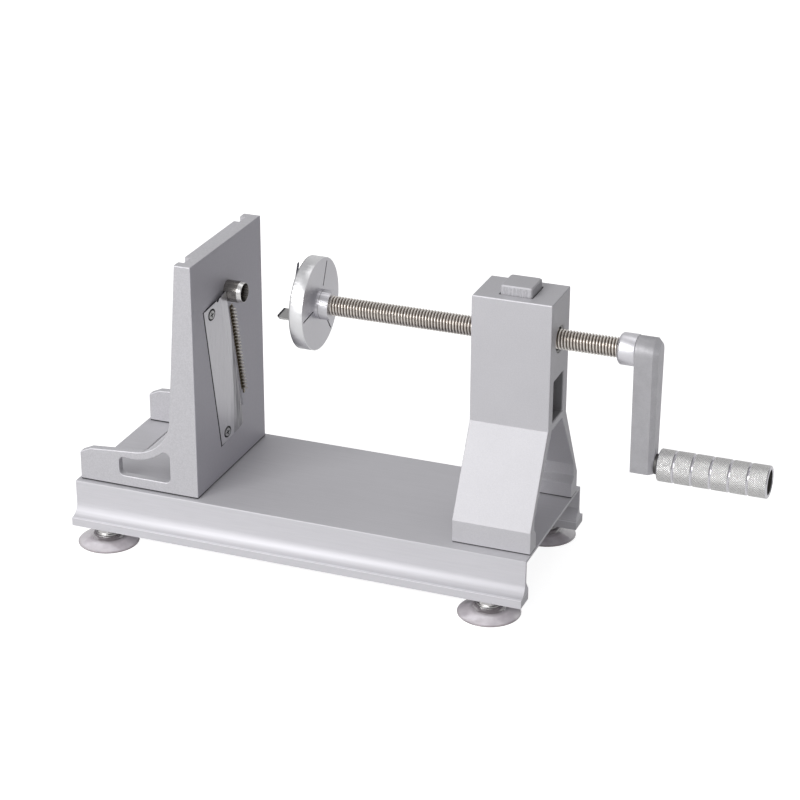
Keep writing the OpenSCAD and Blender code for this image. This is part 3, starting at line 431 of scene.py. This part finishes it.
def blade_metal():
    """Ground sheet steel, with painted shade on its bevel, along its borders, on its sides and
    round the screw heads.
    """
    look = brushed("blade_steel", 0.65, rough=(0.26, 0.36), stretch=(1, 1, 0.06), depth=0.004,
                   size=1.4, contrast=0.07)
    mesh = nodes["slicing_blade"].data
    forward = [face for face in mesh.polygons if face.normal.x > 0.9]
    front = max(forward, key=lambda face: face.area)
    # Painted shade on the ground bevel along the cutting edge, wider downwards, with a streaky
    # border
    drop = look.math("SUBTRACT", 178 * MM, look.axis("Z"))
    width = look.math("MAXIMUM", look.math("MULTIPLY", drop, 0.16), 0.5 * MM)
    share = look.math("DIVIDE", blade_edge_distance(look), width)
    streaks = look.noise(1.8, 4, stretch=(1, 1, 0.05), rough=0.6)
    wavy = look.math("ADD", share, look.spread(streaks, -0.35, 0.35))
    for strength, start, end, colour in ((0.9, 0.55, 1.35, (0.15, 0.145, 0.16)),
                                         (0.8, 0.1, 0.4, (0.46, 0.45, 0.47))):
        look.shade(look.spread(wavy, strength, 0.0, start, end), colour)
    # Painted shadow of the gap along the borders that look towards -Y
    look.shade(look.strip(mesh, front, 1.2), PAINTED_SHADE_DARK)
    # Painted shade round each screw head
    for z, y in screw_places():
        away = look.distance(look.off("Y", y / MM), look.off("Z", z / MM))
        look.shade(look.above(away, 5.05, 4.85), (0.2, 0.2, 0.205))
    # Painted shade: the sheet's sides behind the edge lie in the dark of the recess
    depth = look.math("SUBTRACT", look.dot(look.coordinates, front.normal),
                      front.normal.dot(front.center))
    rear = look.above(blade_edge_distance(look), 7, 9)
    look.shade(look.product(rear, look.above(depth, -0.3, -0.45)), PAINTED_SHADE_DARK)
    return look.material


def tube_metal():
    look = brushed("tube_steel", 0.27, rough=(0.22, 0.34), warm=0.05, stretch=(0.2, 1, 1),
                   depth=0.005, size=1.2, contrast=0.12)
    mouth = span("coring_tube", "X")[1]
    # Painted highlight on the bevel at the mouth
    look.shade(look.above(look.axis("X"), mouth - 3.9, mouth - 3.7), (0.80, 0.79, 0.78))
    # Painted shade inside the tube
    look.shade(look.above(look.radius(), 7.7, 7.5), (0.09, 0.08, 0.07))
    return look.material


def comb_metal():
    look = brushed("comb_steel", 0.60, rough=(0.3, 0.45), warm=0.03, stretch=(1, 1, 0.2),
                   depth=0.004, size=1.0)
    # Painted shade: teeth dark next to the stand's face and light towards their tips
    uneven = look.spread(look.noise(1.1, 2), -0.6 * MM, 0.6 * MM)
    height = look.math("ADD", look.axis("X"), uneven)
    look.tint(look.above(height, STAND_FACE + 0.3, STAND_FACE + 5.0),
              (0.20, 0.17, 0.12), (0.95, 0.92, 0.85), 0.05, 0.5)
    return look.material


# The screw, the disc, its prongs and the crank
def thread_metal():
    look = brushed("thread_steel", 0.70, rough=(0.28, 0.38), warm=0.04, stretch=(0.15, 1, 1),
                   size=1.0)
    # Painted shade in the thread's roots and painted highlight on its crests
    crest = look.above(look.radius(), 6.7, 8.0)
    look.tint(crest, (0.14, 0.11, 0.09), (1.0, 0.95, 0.89), 0.1, 0.8)
    return look.material


def disc_metal():
    look = brushed("turned_disc", 0.68, rough=(0.3, 0.38), size=2.0, contrast=0.03)
    x = look.axis("X")
    rim = look.above(look.radius(), 36.4, 36.8)
    # Painted highlight on the rim, with painted shade on its front edge
    look.shade(rim, (0.86, 0.86, 0.87))
    look.shade(look.product(rim, look.above(x, DISC_FRONT + 1.0, DISC_FRONT + 0.6)), 0.55)
    # Painted shade of a groove round the hub
    hub = look.above(look.radius(), 12.6, 12.3)
    look.shade(look.product(hub, look.between(x, HUB_END - 8.3, HUB_END - 7.7)), 0.6)
    look.turned(0.35)
    return look.material


def prong_metal():
    look = brushed("prong_steel", 0.44, rough=(0.25, 0.36), warm=0.01, stretch=(1, 0.1, 1),
                   depth=0.006, size=1.2)
    tip = span("prong_1", "X")[0]
    look.shade(look.above(look.axis("X"), tip + 2.1, tip + 1.8), (0.015, 0.015, 0.018))
    return look.material


def knurled(diamonds_round=24.0, diamond_length=1.7):
    look = Look("knurled_aluminium", grey(0.70), 1.0, 0.34)
    angle = look.math("ARCTAN2", look.off("Z", GRIP_Z), look.axis("Y"))
    around = look.math("MULTIPLY", angle, diamonds_round)
    along = look.math("MULTIPLY", look.axis("X"), math.pi / (diamond_length * MM))
    left, right = (look.math("ABSOLUTE", look.math("SINE", look.math(way, around, along)))
                   for way in ("ADD", "SUBTRACT"))
    grit = look.product(left, right, look.spread(look.noise(1.3, 3), 0.45, 1.5))
    # Painted shade in the valleys between the diamonds, lighter on their tops
    look.tint(grit, grey(0.36, 0.01), grey(0.94, 0.01), 0.03, 0.5)
    look.bump(grit, 0.24)
    look.rough(look.noise(1.5), 0.28, 0.42)
    return look.material


# The cups
def cup_rubber():
    look = Look("cup_rubber", (0.56, 0.51, 0.52), 0.0, 0.2, Transmission_Weight=0.3, IOR=1.41,
                Coat_Weight=0.4, Coat_Roughness=0.12)
    look.tint(look.noise(9, 2), (0.66, 0.61, 0.65), (0.86, 0.81, 0.85))
    # Painted shade on the boss under the washers and along the lip at the floor
    look.shade(look.above(look.axis("Z"), 3.6, 5.0), (0.16, 0.14, 0.15))
    look.shade(look.above(look.axis("Z"), 1.3, 0.3), (0.28, 0.24, 0.25))
    look.bump(look.noise(2.5, 2), 0.03)
    return look.material


coat, rough_coat, arm_coat, channel = stand_coat(), tower_coat(), crank_coat(), channel_metal()
button_coat, knurl, rubber = button_look(), knurled(), cup_rubber()
blade_steel, tube_steel, prong_steel = blade_metal(), tube_metal(), prong_metal()
comb_steel, thread_steel, disc_satin = comb_metal(), thread_metal(), disc_metal()
screw_head = screw_metal()
bright = brushed("bright_steel", 0.62, rough=(0.28, 0.38), warm=0.01).material
# Painted shade: steel made very dark for the gap between the crank arm and the grip, also used on
# the bolt, studs and set screws
dark_steel_gap_shade = brushed("dark_steel_gap_shade", 0.12, rough=(0.5, 0.6), warm=0.02).material
bore_steel = brushed("bore_steel", 0.30, rough=(0.35, 0.45), warm=0.02).material
dark_bore = brushed("bore_dark", 0.24, rough=(0.3, 0.45), warm=0.03, stretch=(0.2, 1, 1),
                    depth=0.01, size=1.2).material
brass = brushed("nut_brass", 0.55, rough=(0.2, 0.32), warm=0.22, stretch=(0.1, 1, 1),
                depth=0.006, size=1.4).material
collar_satin = brushed("turned_collar", 0.82, rough=(0.36, 0.44), stretch=(4, 0.3, 0.3),
                       size=1.0, contrast=0.04).material
groove_satin = brushed("turned_groove", 0.80, rough=(0.2, 0.3), stretch=(1, 0.2, 0.2),
                       size=1.0, contrast=0.05).material


# Mesh helpers
def mesh_object(name, points, faces, material, body):
    mesh = bpy.data.meshes.new(name)
    mesh.from_pydata(points, [], faces)
    mesh.update()
    for polygon in mesh.polygons:
        polygon.use_smooth = True
    mesh.materials.append(material)
    made = bpy.data.objects.new(name, mesh)
    bpy.context.scene.collection.objects.link(made)
    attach(made, body)
    return made


def by_angle(made, degrees=35):
    """Keeps edges sharper than this angle crisp."""
    split = made.modifiers.new("crisp", "EDGE_SPLIT")
    split.split_angle = math.radians(degrees)


def revolve(name, profile, centre, axis, material, body, steps=96):
    """A closed turned shape: the profile is a closed list of (radius, distance)."""
    points, faces = [], []
    count, on_axis = len(profile), 1e-6
    for i in range(steps):
        angle = 2 * math.pi * i / steps
        for radius, along in profile:
            u, v = radius * math.cos(angle), radius * math.sin(angle)
            place = (along, u, v) if axis == "x" else (u, v, along)
            points.append(tuple((centre[k] + place[k]) * MM for k in range(3)))
    for i in range(steps):
        this, following = i * count, (i + 1) % steps * count
        for k in range(count):
            n = (k + 1) % count
            if profile[k][0] >= on_axis or profile[n][0] >= on_axis:
                faces.append((this + k, following + k, following + n, this + n))
    made = mesh_object(name, points, faces, material, body)
    weld = made.modifiers.new("weld", "WELD")
    weld.merge_threshold = 0.002 * MM
    return made


def weld_and_flatten(made):
    """Joins the mesh of a CAD solid and dissolves the triangles of its flat faces."""
    weld = made.modifiers.new("weld", "WELD")
    weld.merge_threshold = 0.003 * MM
    flat = made.modifiers.new("flat", "DECIMATE")
    flat.decimate_type, flat.angle_limit = "DISSOLVE", math.radians(0.6)


def bevel_edges(made, width, segments=2, clamp=True, sharp=30):
    bevel = made.modifiers.new("edges", "BEVEL")
    bevel.width, bevel.segments = width * MM, segments
    bevel.limit_method, bevel.angle_limit = "ANGLE", math.radians(sharp)
    bevel.harden_normals = True
    bevel.use_clamp_overlap = clamp
    return bevel


def paint(node, material):
    made = nodes[node]
    made.data.materials.clear()
    made.data.materials.append(material)


def soften(node, width, material, segments=2, clamp=True):
    """Gives a CAD node small rounded edges and a material."""
    paint(node, material)
    weld_and_flatten(nodes[node])
    bevel_edges(nodes[node], width, segments, clamp)


# The blade stand, with its web cut back to where the photograph leaves the plate in sight
WEB_CUT_X, WEB_CUT_Z, RAIL = (-250.0, -215.0), (70.0, 90.0), 7.0


def web_cutter(inside):
    """A box between the rails, past the web's end, top and underside."""
    corners = [(x * MM, y * MM, z * MM) for x in WEB_CUT_X for y in (-inside, inside)
               for z in WEB_CUT_Z]
    sides = [(0, 1, 3, 2), (4, 6, 7, 5), (0, 4, 5, 1), (2, 3, 7, 6), (0, 2, 6, 4), (1, 5, 7, 3)]
    mesh = bpy.data.meshes.new("web_cut")
    mesh.from_pydata(corners, [], sides)
    return bpy.data.objects.new("web_cut", mesh)


def mark_outer_edges(mesh, inside):
    """Gives bevel weight to the sharp edges on the stand's two outer sides."""
    edit = bmesh.new()
    edit.from_mesh(mesh)
    weight = edit.edges.layers.float.new("bevel_weight_edge")
    for edge in edit.edges:
        outer = all(abs(corner.co.y) > (inside - 0.1) * MM for corner in edge.verts)
        if outer and len(edge.link_faces) == 2 and edge.calc_face_angle() > math.radians(30):
            edge[weight] = 1.0
    edit.to_mesh(mesh)
    edit.free()


def blade_stand():
    inside = span("blade_stand", "Y")[1] - RAIL
    cutter = web_cutter(inside)
    whole = bpy.data.objects.new("stand_whole", nodes["blade_stand"].data.copy())
    for made in (cutter, whole):
        bpy.context.scene.collection.objects.link(made)
    weld_and_flatten(whole)
    cut = whole.modifiers.new("cut", "BOOLEAN")
    cut.operation, cut.solver, cut.object = "DIFFERENCE", "EXACT", cutter
    bpy.context.view_layer.update()
    evaluated = whole.evaluated_get(bpy.context.evaluated_depsgraph_get())
    mesh = bpy.data.meshes.new_from_object(evaluated)
    for made in (cutter, whole):
        bpy.data.objects.remove(made)
    mesh.name = "blade_stand_body"
    mesh.materials.clear()
    mesh.materials.append(coat)
    mark_outer_edges(mesh, inside)
    made = bpy.data.objects.new("blade_stand_body", mesh)
    bpy.context.scene.collection.objects.link(made)
    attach(made, "base")
    bevel_edges(made, 0.8, segments=3, clamp=False).limit_method = "WEIGHT"
    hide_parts("blade_stand")


# The lead screw with its full thread, from inside the hub to just before the collar
PITCH, THREAD_START, THREAD_END = 2.5, -79.9, 156.1
ROOT, CREST, CORE, JOURNAL, CHAMFER = 6.65, 8.0, 6.66, 6.0, 0.6


def lead_screw():
    steps = 36
    turns = int((THREAD_END - THREAD_START) / PITCH)
    flank = [(0.25, 6.72), (0.95, 7.86), (1.1, CREST)]
    profile = [(0.0, ROOT)] + flank + [(PITCH - along, radius) for along, radius in reversed(flank)]
    points, faces = [], []
    for i in range(turns * steps + 1):
        angle = 2 * math.pi * i / steps
        for offset, radius in profile:
            along = min(max(THREAD_START + PITCH * i / steps + offset, HUB_END), THREAD_END)
            points.append((along * MM, radius * math.cos(angle) * MM,
                           (AXIS_Z + radius * math.sin(angle)) * MM))
    n = len(profile)
    for i in range(turns * steps):
        for k in range(n - 1):
            a = i * n + k
            faces.append((a, a + 1, a + n + 1, a + n))
        # The last flank meets the root of the next turn
        a, b = i * n + n - 1, (i + steps) * n
        if i + steps + 1 <= turns * steps:
            faces.append((a, b, b + n, a + n))
    thread = mesh_object("lead_screw_thread", points, faces, thread_steel, "crank")
    low, high = span("lead_screw", "X")
    chamfered = JOURNAL - CHAMFER
    line = [(0, low), (chamfered, low), (JOURNAL, low + CHAMFER), (JOURNAL, HUB_END),
            (CORE, HUB_END), (CORE, THREAD_END - 0.3), (JOURNAL, THREAD_END + 0.2),
            (JOURNAL, high - CHAMFER), (chamfered, high), (0, high)]
    core = revolve("lead_screw_core", line, (0, 0, AXIS_Z), "x", thread_steel, "crank", 48)
    by_angle(core)
    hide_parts("lead_screw")


# The knurled grip with its turned grooves and hollow end
GROOVES, FIRST_GROOVE, GROOVE_STEP = 5, 12.9, 14.4
BOLT_HOLE, HOLLOW, HOLLOW_DEPTH = 4.08, 9.8, 66


def crank_grip():
    start, end = span("crank_grip", "X")
    length, r = end - start, GRIP_RADIUS
    outer = [(BOLT_HOLE, 0), (11.6, 0), (12.3, 0.3), (r, 0.9)]
    for i in range(GROOVES):
        groove = FIRST_GROOVE + GROOVE_STEP * i
        outer += [(r - depth, groove + side) for depth, side in
                  ((0, -1.0), (0.7, -0.2), (0.75, 0), (0.7, 0.2), (0, 1.0))]
    outer += [(r, length - 0.9), (12.3, length - 0.3), (11.6, length), (10.2, length),
              (HOLLOW, length - 0.5), (HOLLOW, length - HOLLOW_DEPTH),
              (BOLT_HOLE, length - HOLLOW_DEPTH)]
    made = revolve("crank_grip_body", outer, (start, 0, GRIP_Z), "x", knurl, "grip", 128)
    made.data.materials.append(groove_satin)
    made.data.materials.append(dark_bore)
    knurl_slot, groove_slot, bore_slot = range(3)
    count = len(outer)
    for index, polygon in enumerate(made.data.polygons):
        a, b = outer[index % count][0], outer[(index + 1) % count][0]
        polygon.material_index = knurl_slot
        if max(a, b) <= HOLLOW:
            polygon.material_index = bore_slot
        elif min(a, b) < r - 0.01:
            polygon.material_index = groove_slot
    by_angle(made, 28)
    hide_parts("crank_grip")


# The suction cups: a boss round the stud, and a bell that thins out to its lip
BOSS = [(0, 2.9), (4, 2.9), (4, 7.78), (11.6, 7.78), (12.2, 7.5), (12.4, 6.9), (12.4, 5.2)]
BELL = [(12.6, 4.7), (13.3, 4.3), (15.5, 3.75), (18.5, 2.85), (21.5, 1.9), (23.8, 1.15),
        (24.7, 0.8)]
LIP = [(25, 0.45), (24.95, 0.1), (24.6, 0), (24.1, 0)]
UNDERSIDE = [(22.5, 0.45), (19, 1.3), (15, 2.1), (12.4, 2.6), (7, 2.0), (0, 1.5)]


def suction_cups():
    for number in range(1, 5):
        node = "suction_cup_%d" % number
        centre = (middle(node, "X"), middle(node, "Y"), 0)
        line = BOSS + BELL + LIP + UNDERSIDE
        made = revolve("cup_%d" % number, line, centre, "z", rubber, "base", 72)
        by_angle(made, 50)
        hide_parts(node)


# The thread cut inside the mouths of the tower's bore
BORE_PITCH, BORE_TURNS, BORE_INSET, BORE_WALL = 1.42, 5, 0.6, 10.74


def bore_threads():
    length = BORE_TURNS * BORE_PITCH
    for name, start in (("bore_thread_front", TOWER_DISC_SIDE + BORE_INSET),
                        ("bore_thread_rear", TOWER_CRANK_SIDE - BORE_INSET - length)):
        profile = [(BORE_WALL, start)]
        for i in range(BORE_TURNS):
            profile += [(radius, start + BORE_PITCH * i + along) for radius, along in
                        ((10.0, 0.15), (9.3, 0.6), (10.0, 1.05), (10.6, 1.25))]
        profile.append((BORE_WALL, start + length))
        made = revolve(name, profile, (0, 0, AXIS_Z), "x", bore_steel, "base", 72)
        by_angle(made, 30)


make_camera()
soften("base_channel", 0.35, channel)
soften("tower", 0.8, rough_coat, 3, clamp=False)
soften("release_button", 0.6, button_coat)
soften("crank_arm", 1.5, arm_coat, 4)
soften("drive_disc", 0.5, disc_satin)
soften("crank_collar", 0.5, collar_satin, 3)
soften("slicing_blade", 0.1, blade_steel)
soften("comb_blade", 0.08, comb_steel)
soften("coring_tube", 0.1, tube_steel)
soften("tube_nut", 0.4, bright)
soften("blade_screws", 0.15, screw_head)
for name in ("prong_1", "prong_2", "prong_3"):
    soften(name, 0.12, prong_steel)
for name in ("foot_washers", "foot_nuts", "stand_bolts", "tower_bolts"):
    soften(name, 0.25, bright)
for name in ("grip_spacer", "axle_bolt", "foot_studs", "hub_set_screw", "arm_set_screw"):
    soften(name, 0.15, dark_steel_gap_shade)
soften("half_nut", 0.05, brass)
paint("button_spring", bright)
blade_stand()
lead_screw()
crank_grip()
suction_cups()
bore_threads()


# Floor, background and light. The camera sees pure white, and mirrors see a dimmer studio
WHITE = (1, 1, 1, 1)


def floor():
    """A white sweep, in metres, that lies just under the cups and rises behind the part."""
    half, depth, height, radius, gap, arc_steps = 4.0, 3.0, 3.0, 1.0, 0.0003, 12
    line = [(-depth, 0), (depth - radius, 0)]
    for i in range(1, arc_steps + 1):
        angle = math.radians(90 * i / arc_steps)
        line.append((depth - radius + radius * math.sin(angle), radius - radius * math.cos(angle)))
    line.append((depth, height))
    points = [(x, y, z - gap) for y, z in line for x in (-half, half)]
    faces = [(2 * i, 2 * i + 1, 2 * i + 3, 2 * i + 2) for i in range(len(line) - 1)]
    mesh = bpy.data.meshes.new("floor")
    mesh.from_pydata(points, [], faces)
    for polygon in mesh.polygons:
        polygon.use_smooth = True
    sweep = bpy.data.objects.new("floor", mesh)
    bpy.context.scene.collection.objects.link(sweep)
    look = Look("floor_white", (0.5, 0.5, 0.5), roughness=0.9)
    look.set("Specular IOR Level", 0.0)
    look.set("Emission Color", WHITE)
    paths = look.node("ShaderNodeLightPath").outputs
    seen = look.math("MAXIMUM", paths["Is Camera Ray"], paths["Is Transmission Ray"])
    glow = look.math("MAXIMUM", look.product(seen, 0.86),
                     look.product(paths["Is Glossy Ray"], 0.34))
    look.link(glow, look.shader.inputs["Emission Strength"])
    mesh.materials.append(look.material)


def background():
    """White for the camera, and for reflections brighter towards the front left."""
    world = bpy.data.worlds.new("studio")
    bpy.context.scene.world = world
    world.use_nodes = True
    tree = NodeTree(world.node_tree)
    shader = world.node_tree.nodes["Background"]
    paths = tree.node("ShaderNodeLightPath").outputs
    seen = tree.math("MAXIMUM", paths["Is Camera Ray"], paths["Is Transmission Ray"])
    ray = tree.node("ShaderNodeTexCoord").outputs["Generated"]
    share = tree.spread(tree.dot(ray, (-0.62, -0.74, 0.26)), 0.0, 1.0, -0.7, 0.9)
    around = tree.ramp(share, (0.16, 0.16, 0.165), (0.62, 0.62, 0.63), 0.0, 1.0)
    tree.link(tree.blend(seen, around, WHITE), shader.inputs["Color"])
    shader.inputs["Strength"].default_value = 1.0


def lamp(name, place, size, power, target=(0, 0, 0.1)):
    """An area lamp, placed in metres, that looks at the part."""
    data = bpy.data.lights.new(name, "AREA")
    data.shape, data.size, data.size_y, data.energy = "RECTANGLE", size[0], size[1], power
    made = bpy.data.objects.new(name, data)
    made.location = place
    made.rotation_euler = (Vector(target) - Vector(place)).to_track_quat("-Z", "Y").to_euler()
    bpy.context.scene.collection.objects.link(made)


floor()
background()
lamp("key", (-0.9, -2.1, 1.45), size=(1.6, 1.2), power=38)
lamp("top", (0.1, 0.5, 2.0), size=(1.4, 1.0), power=4)
bpy.context.scene.view_settings.view_transform = "Standard"
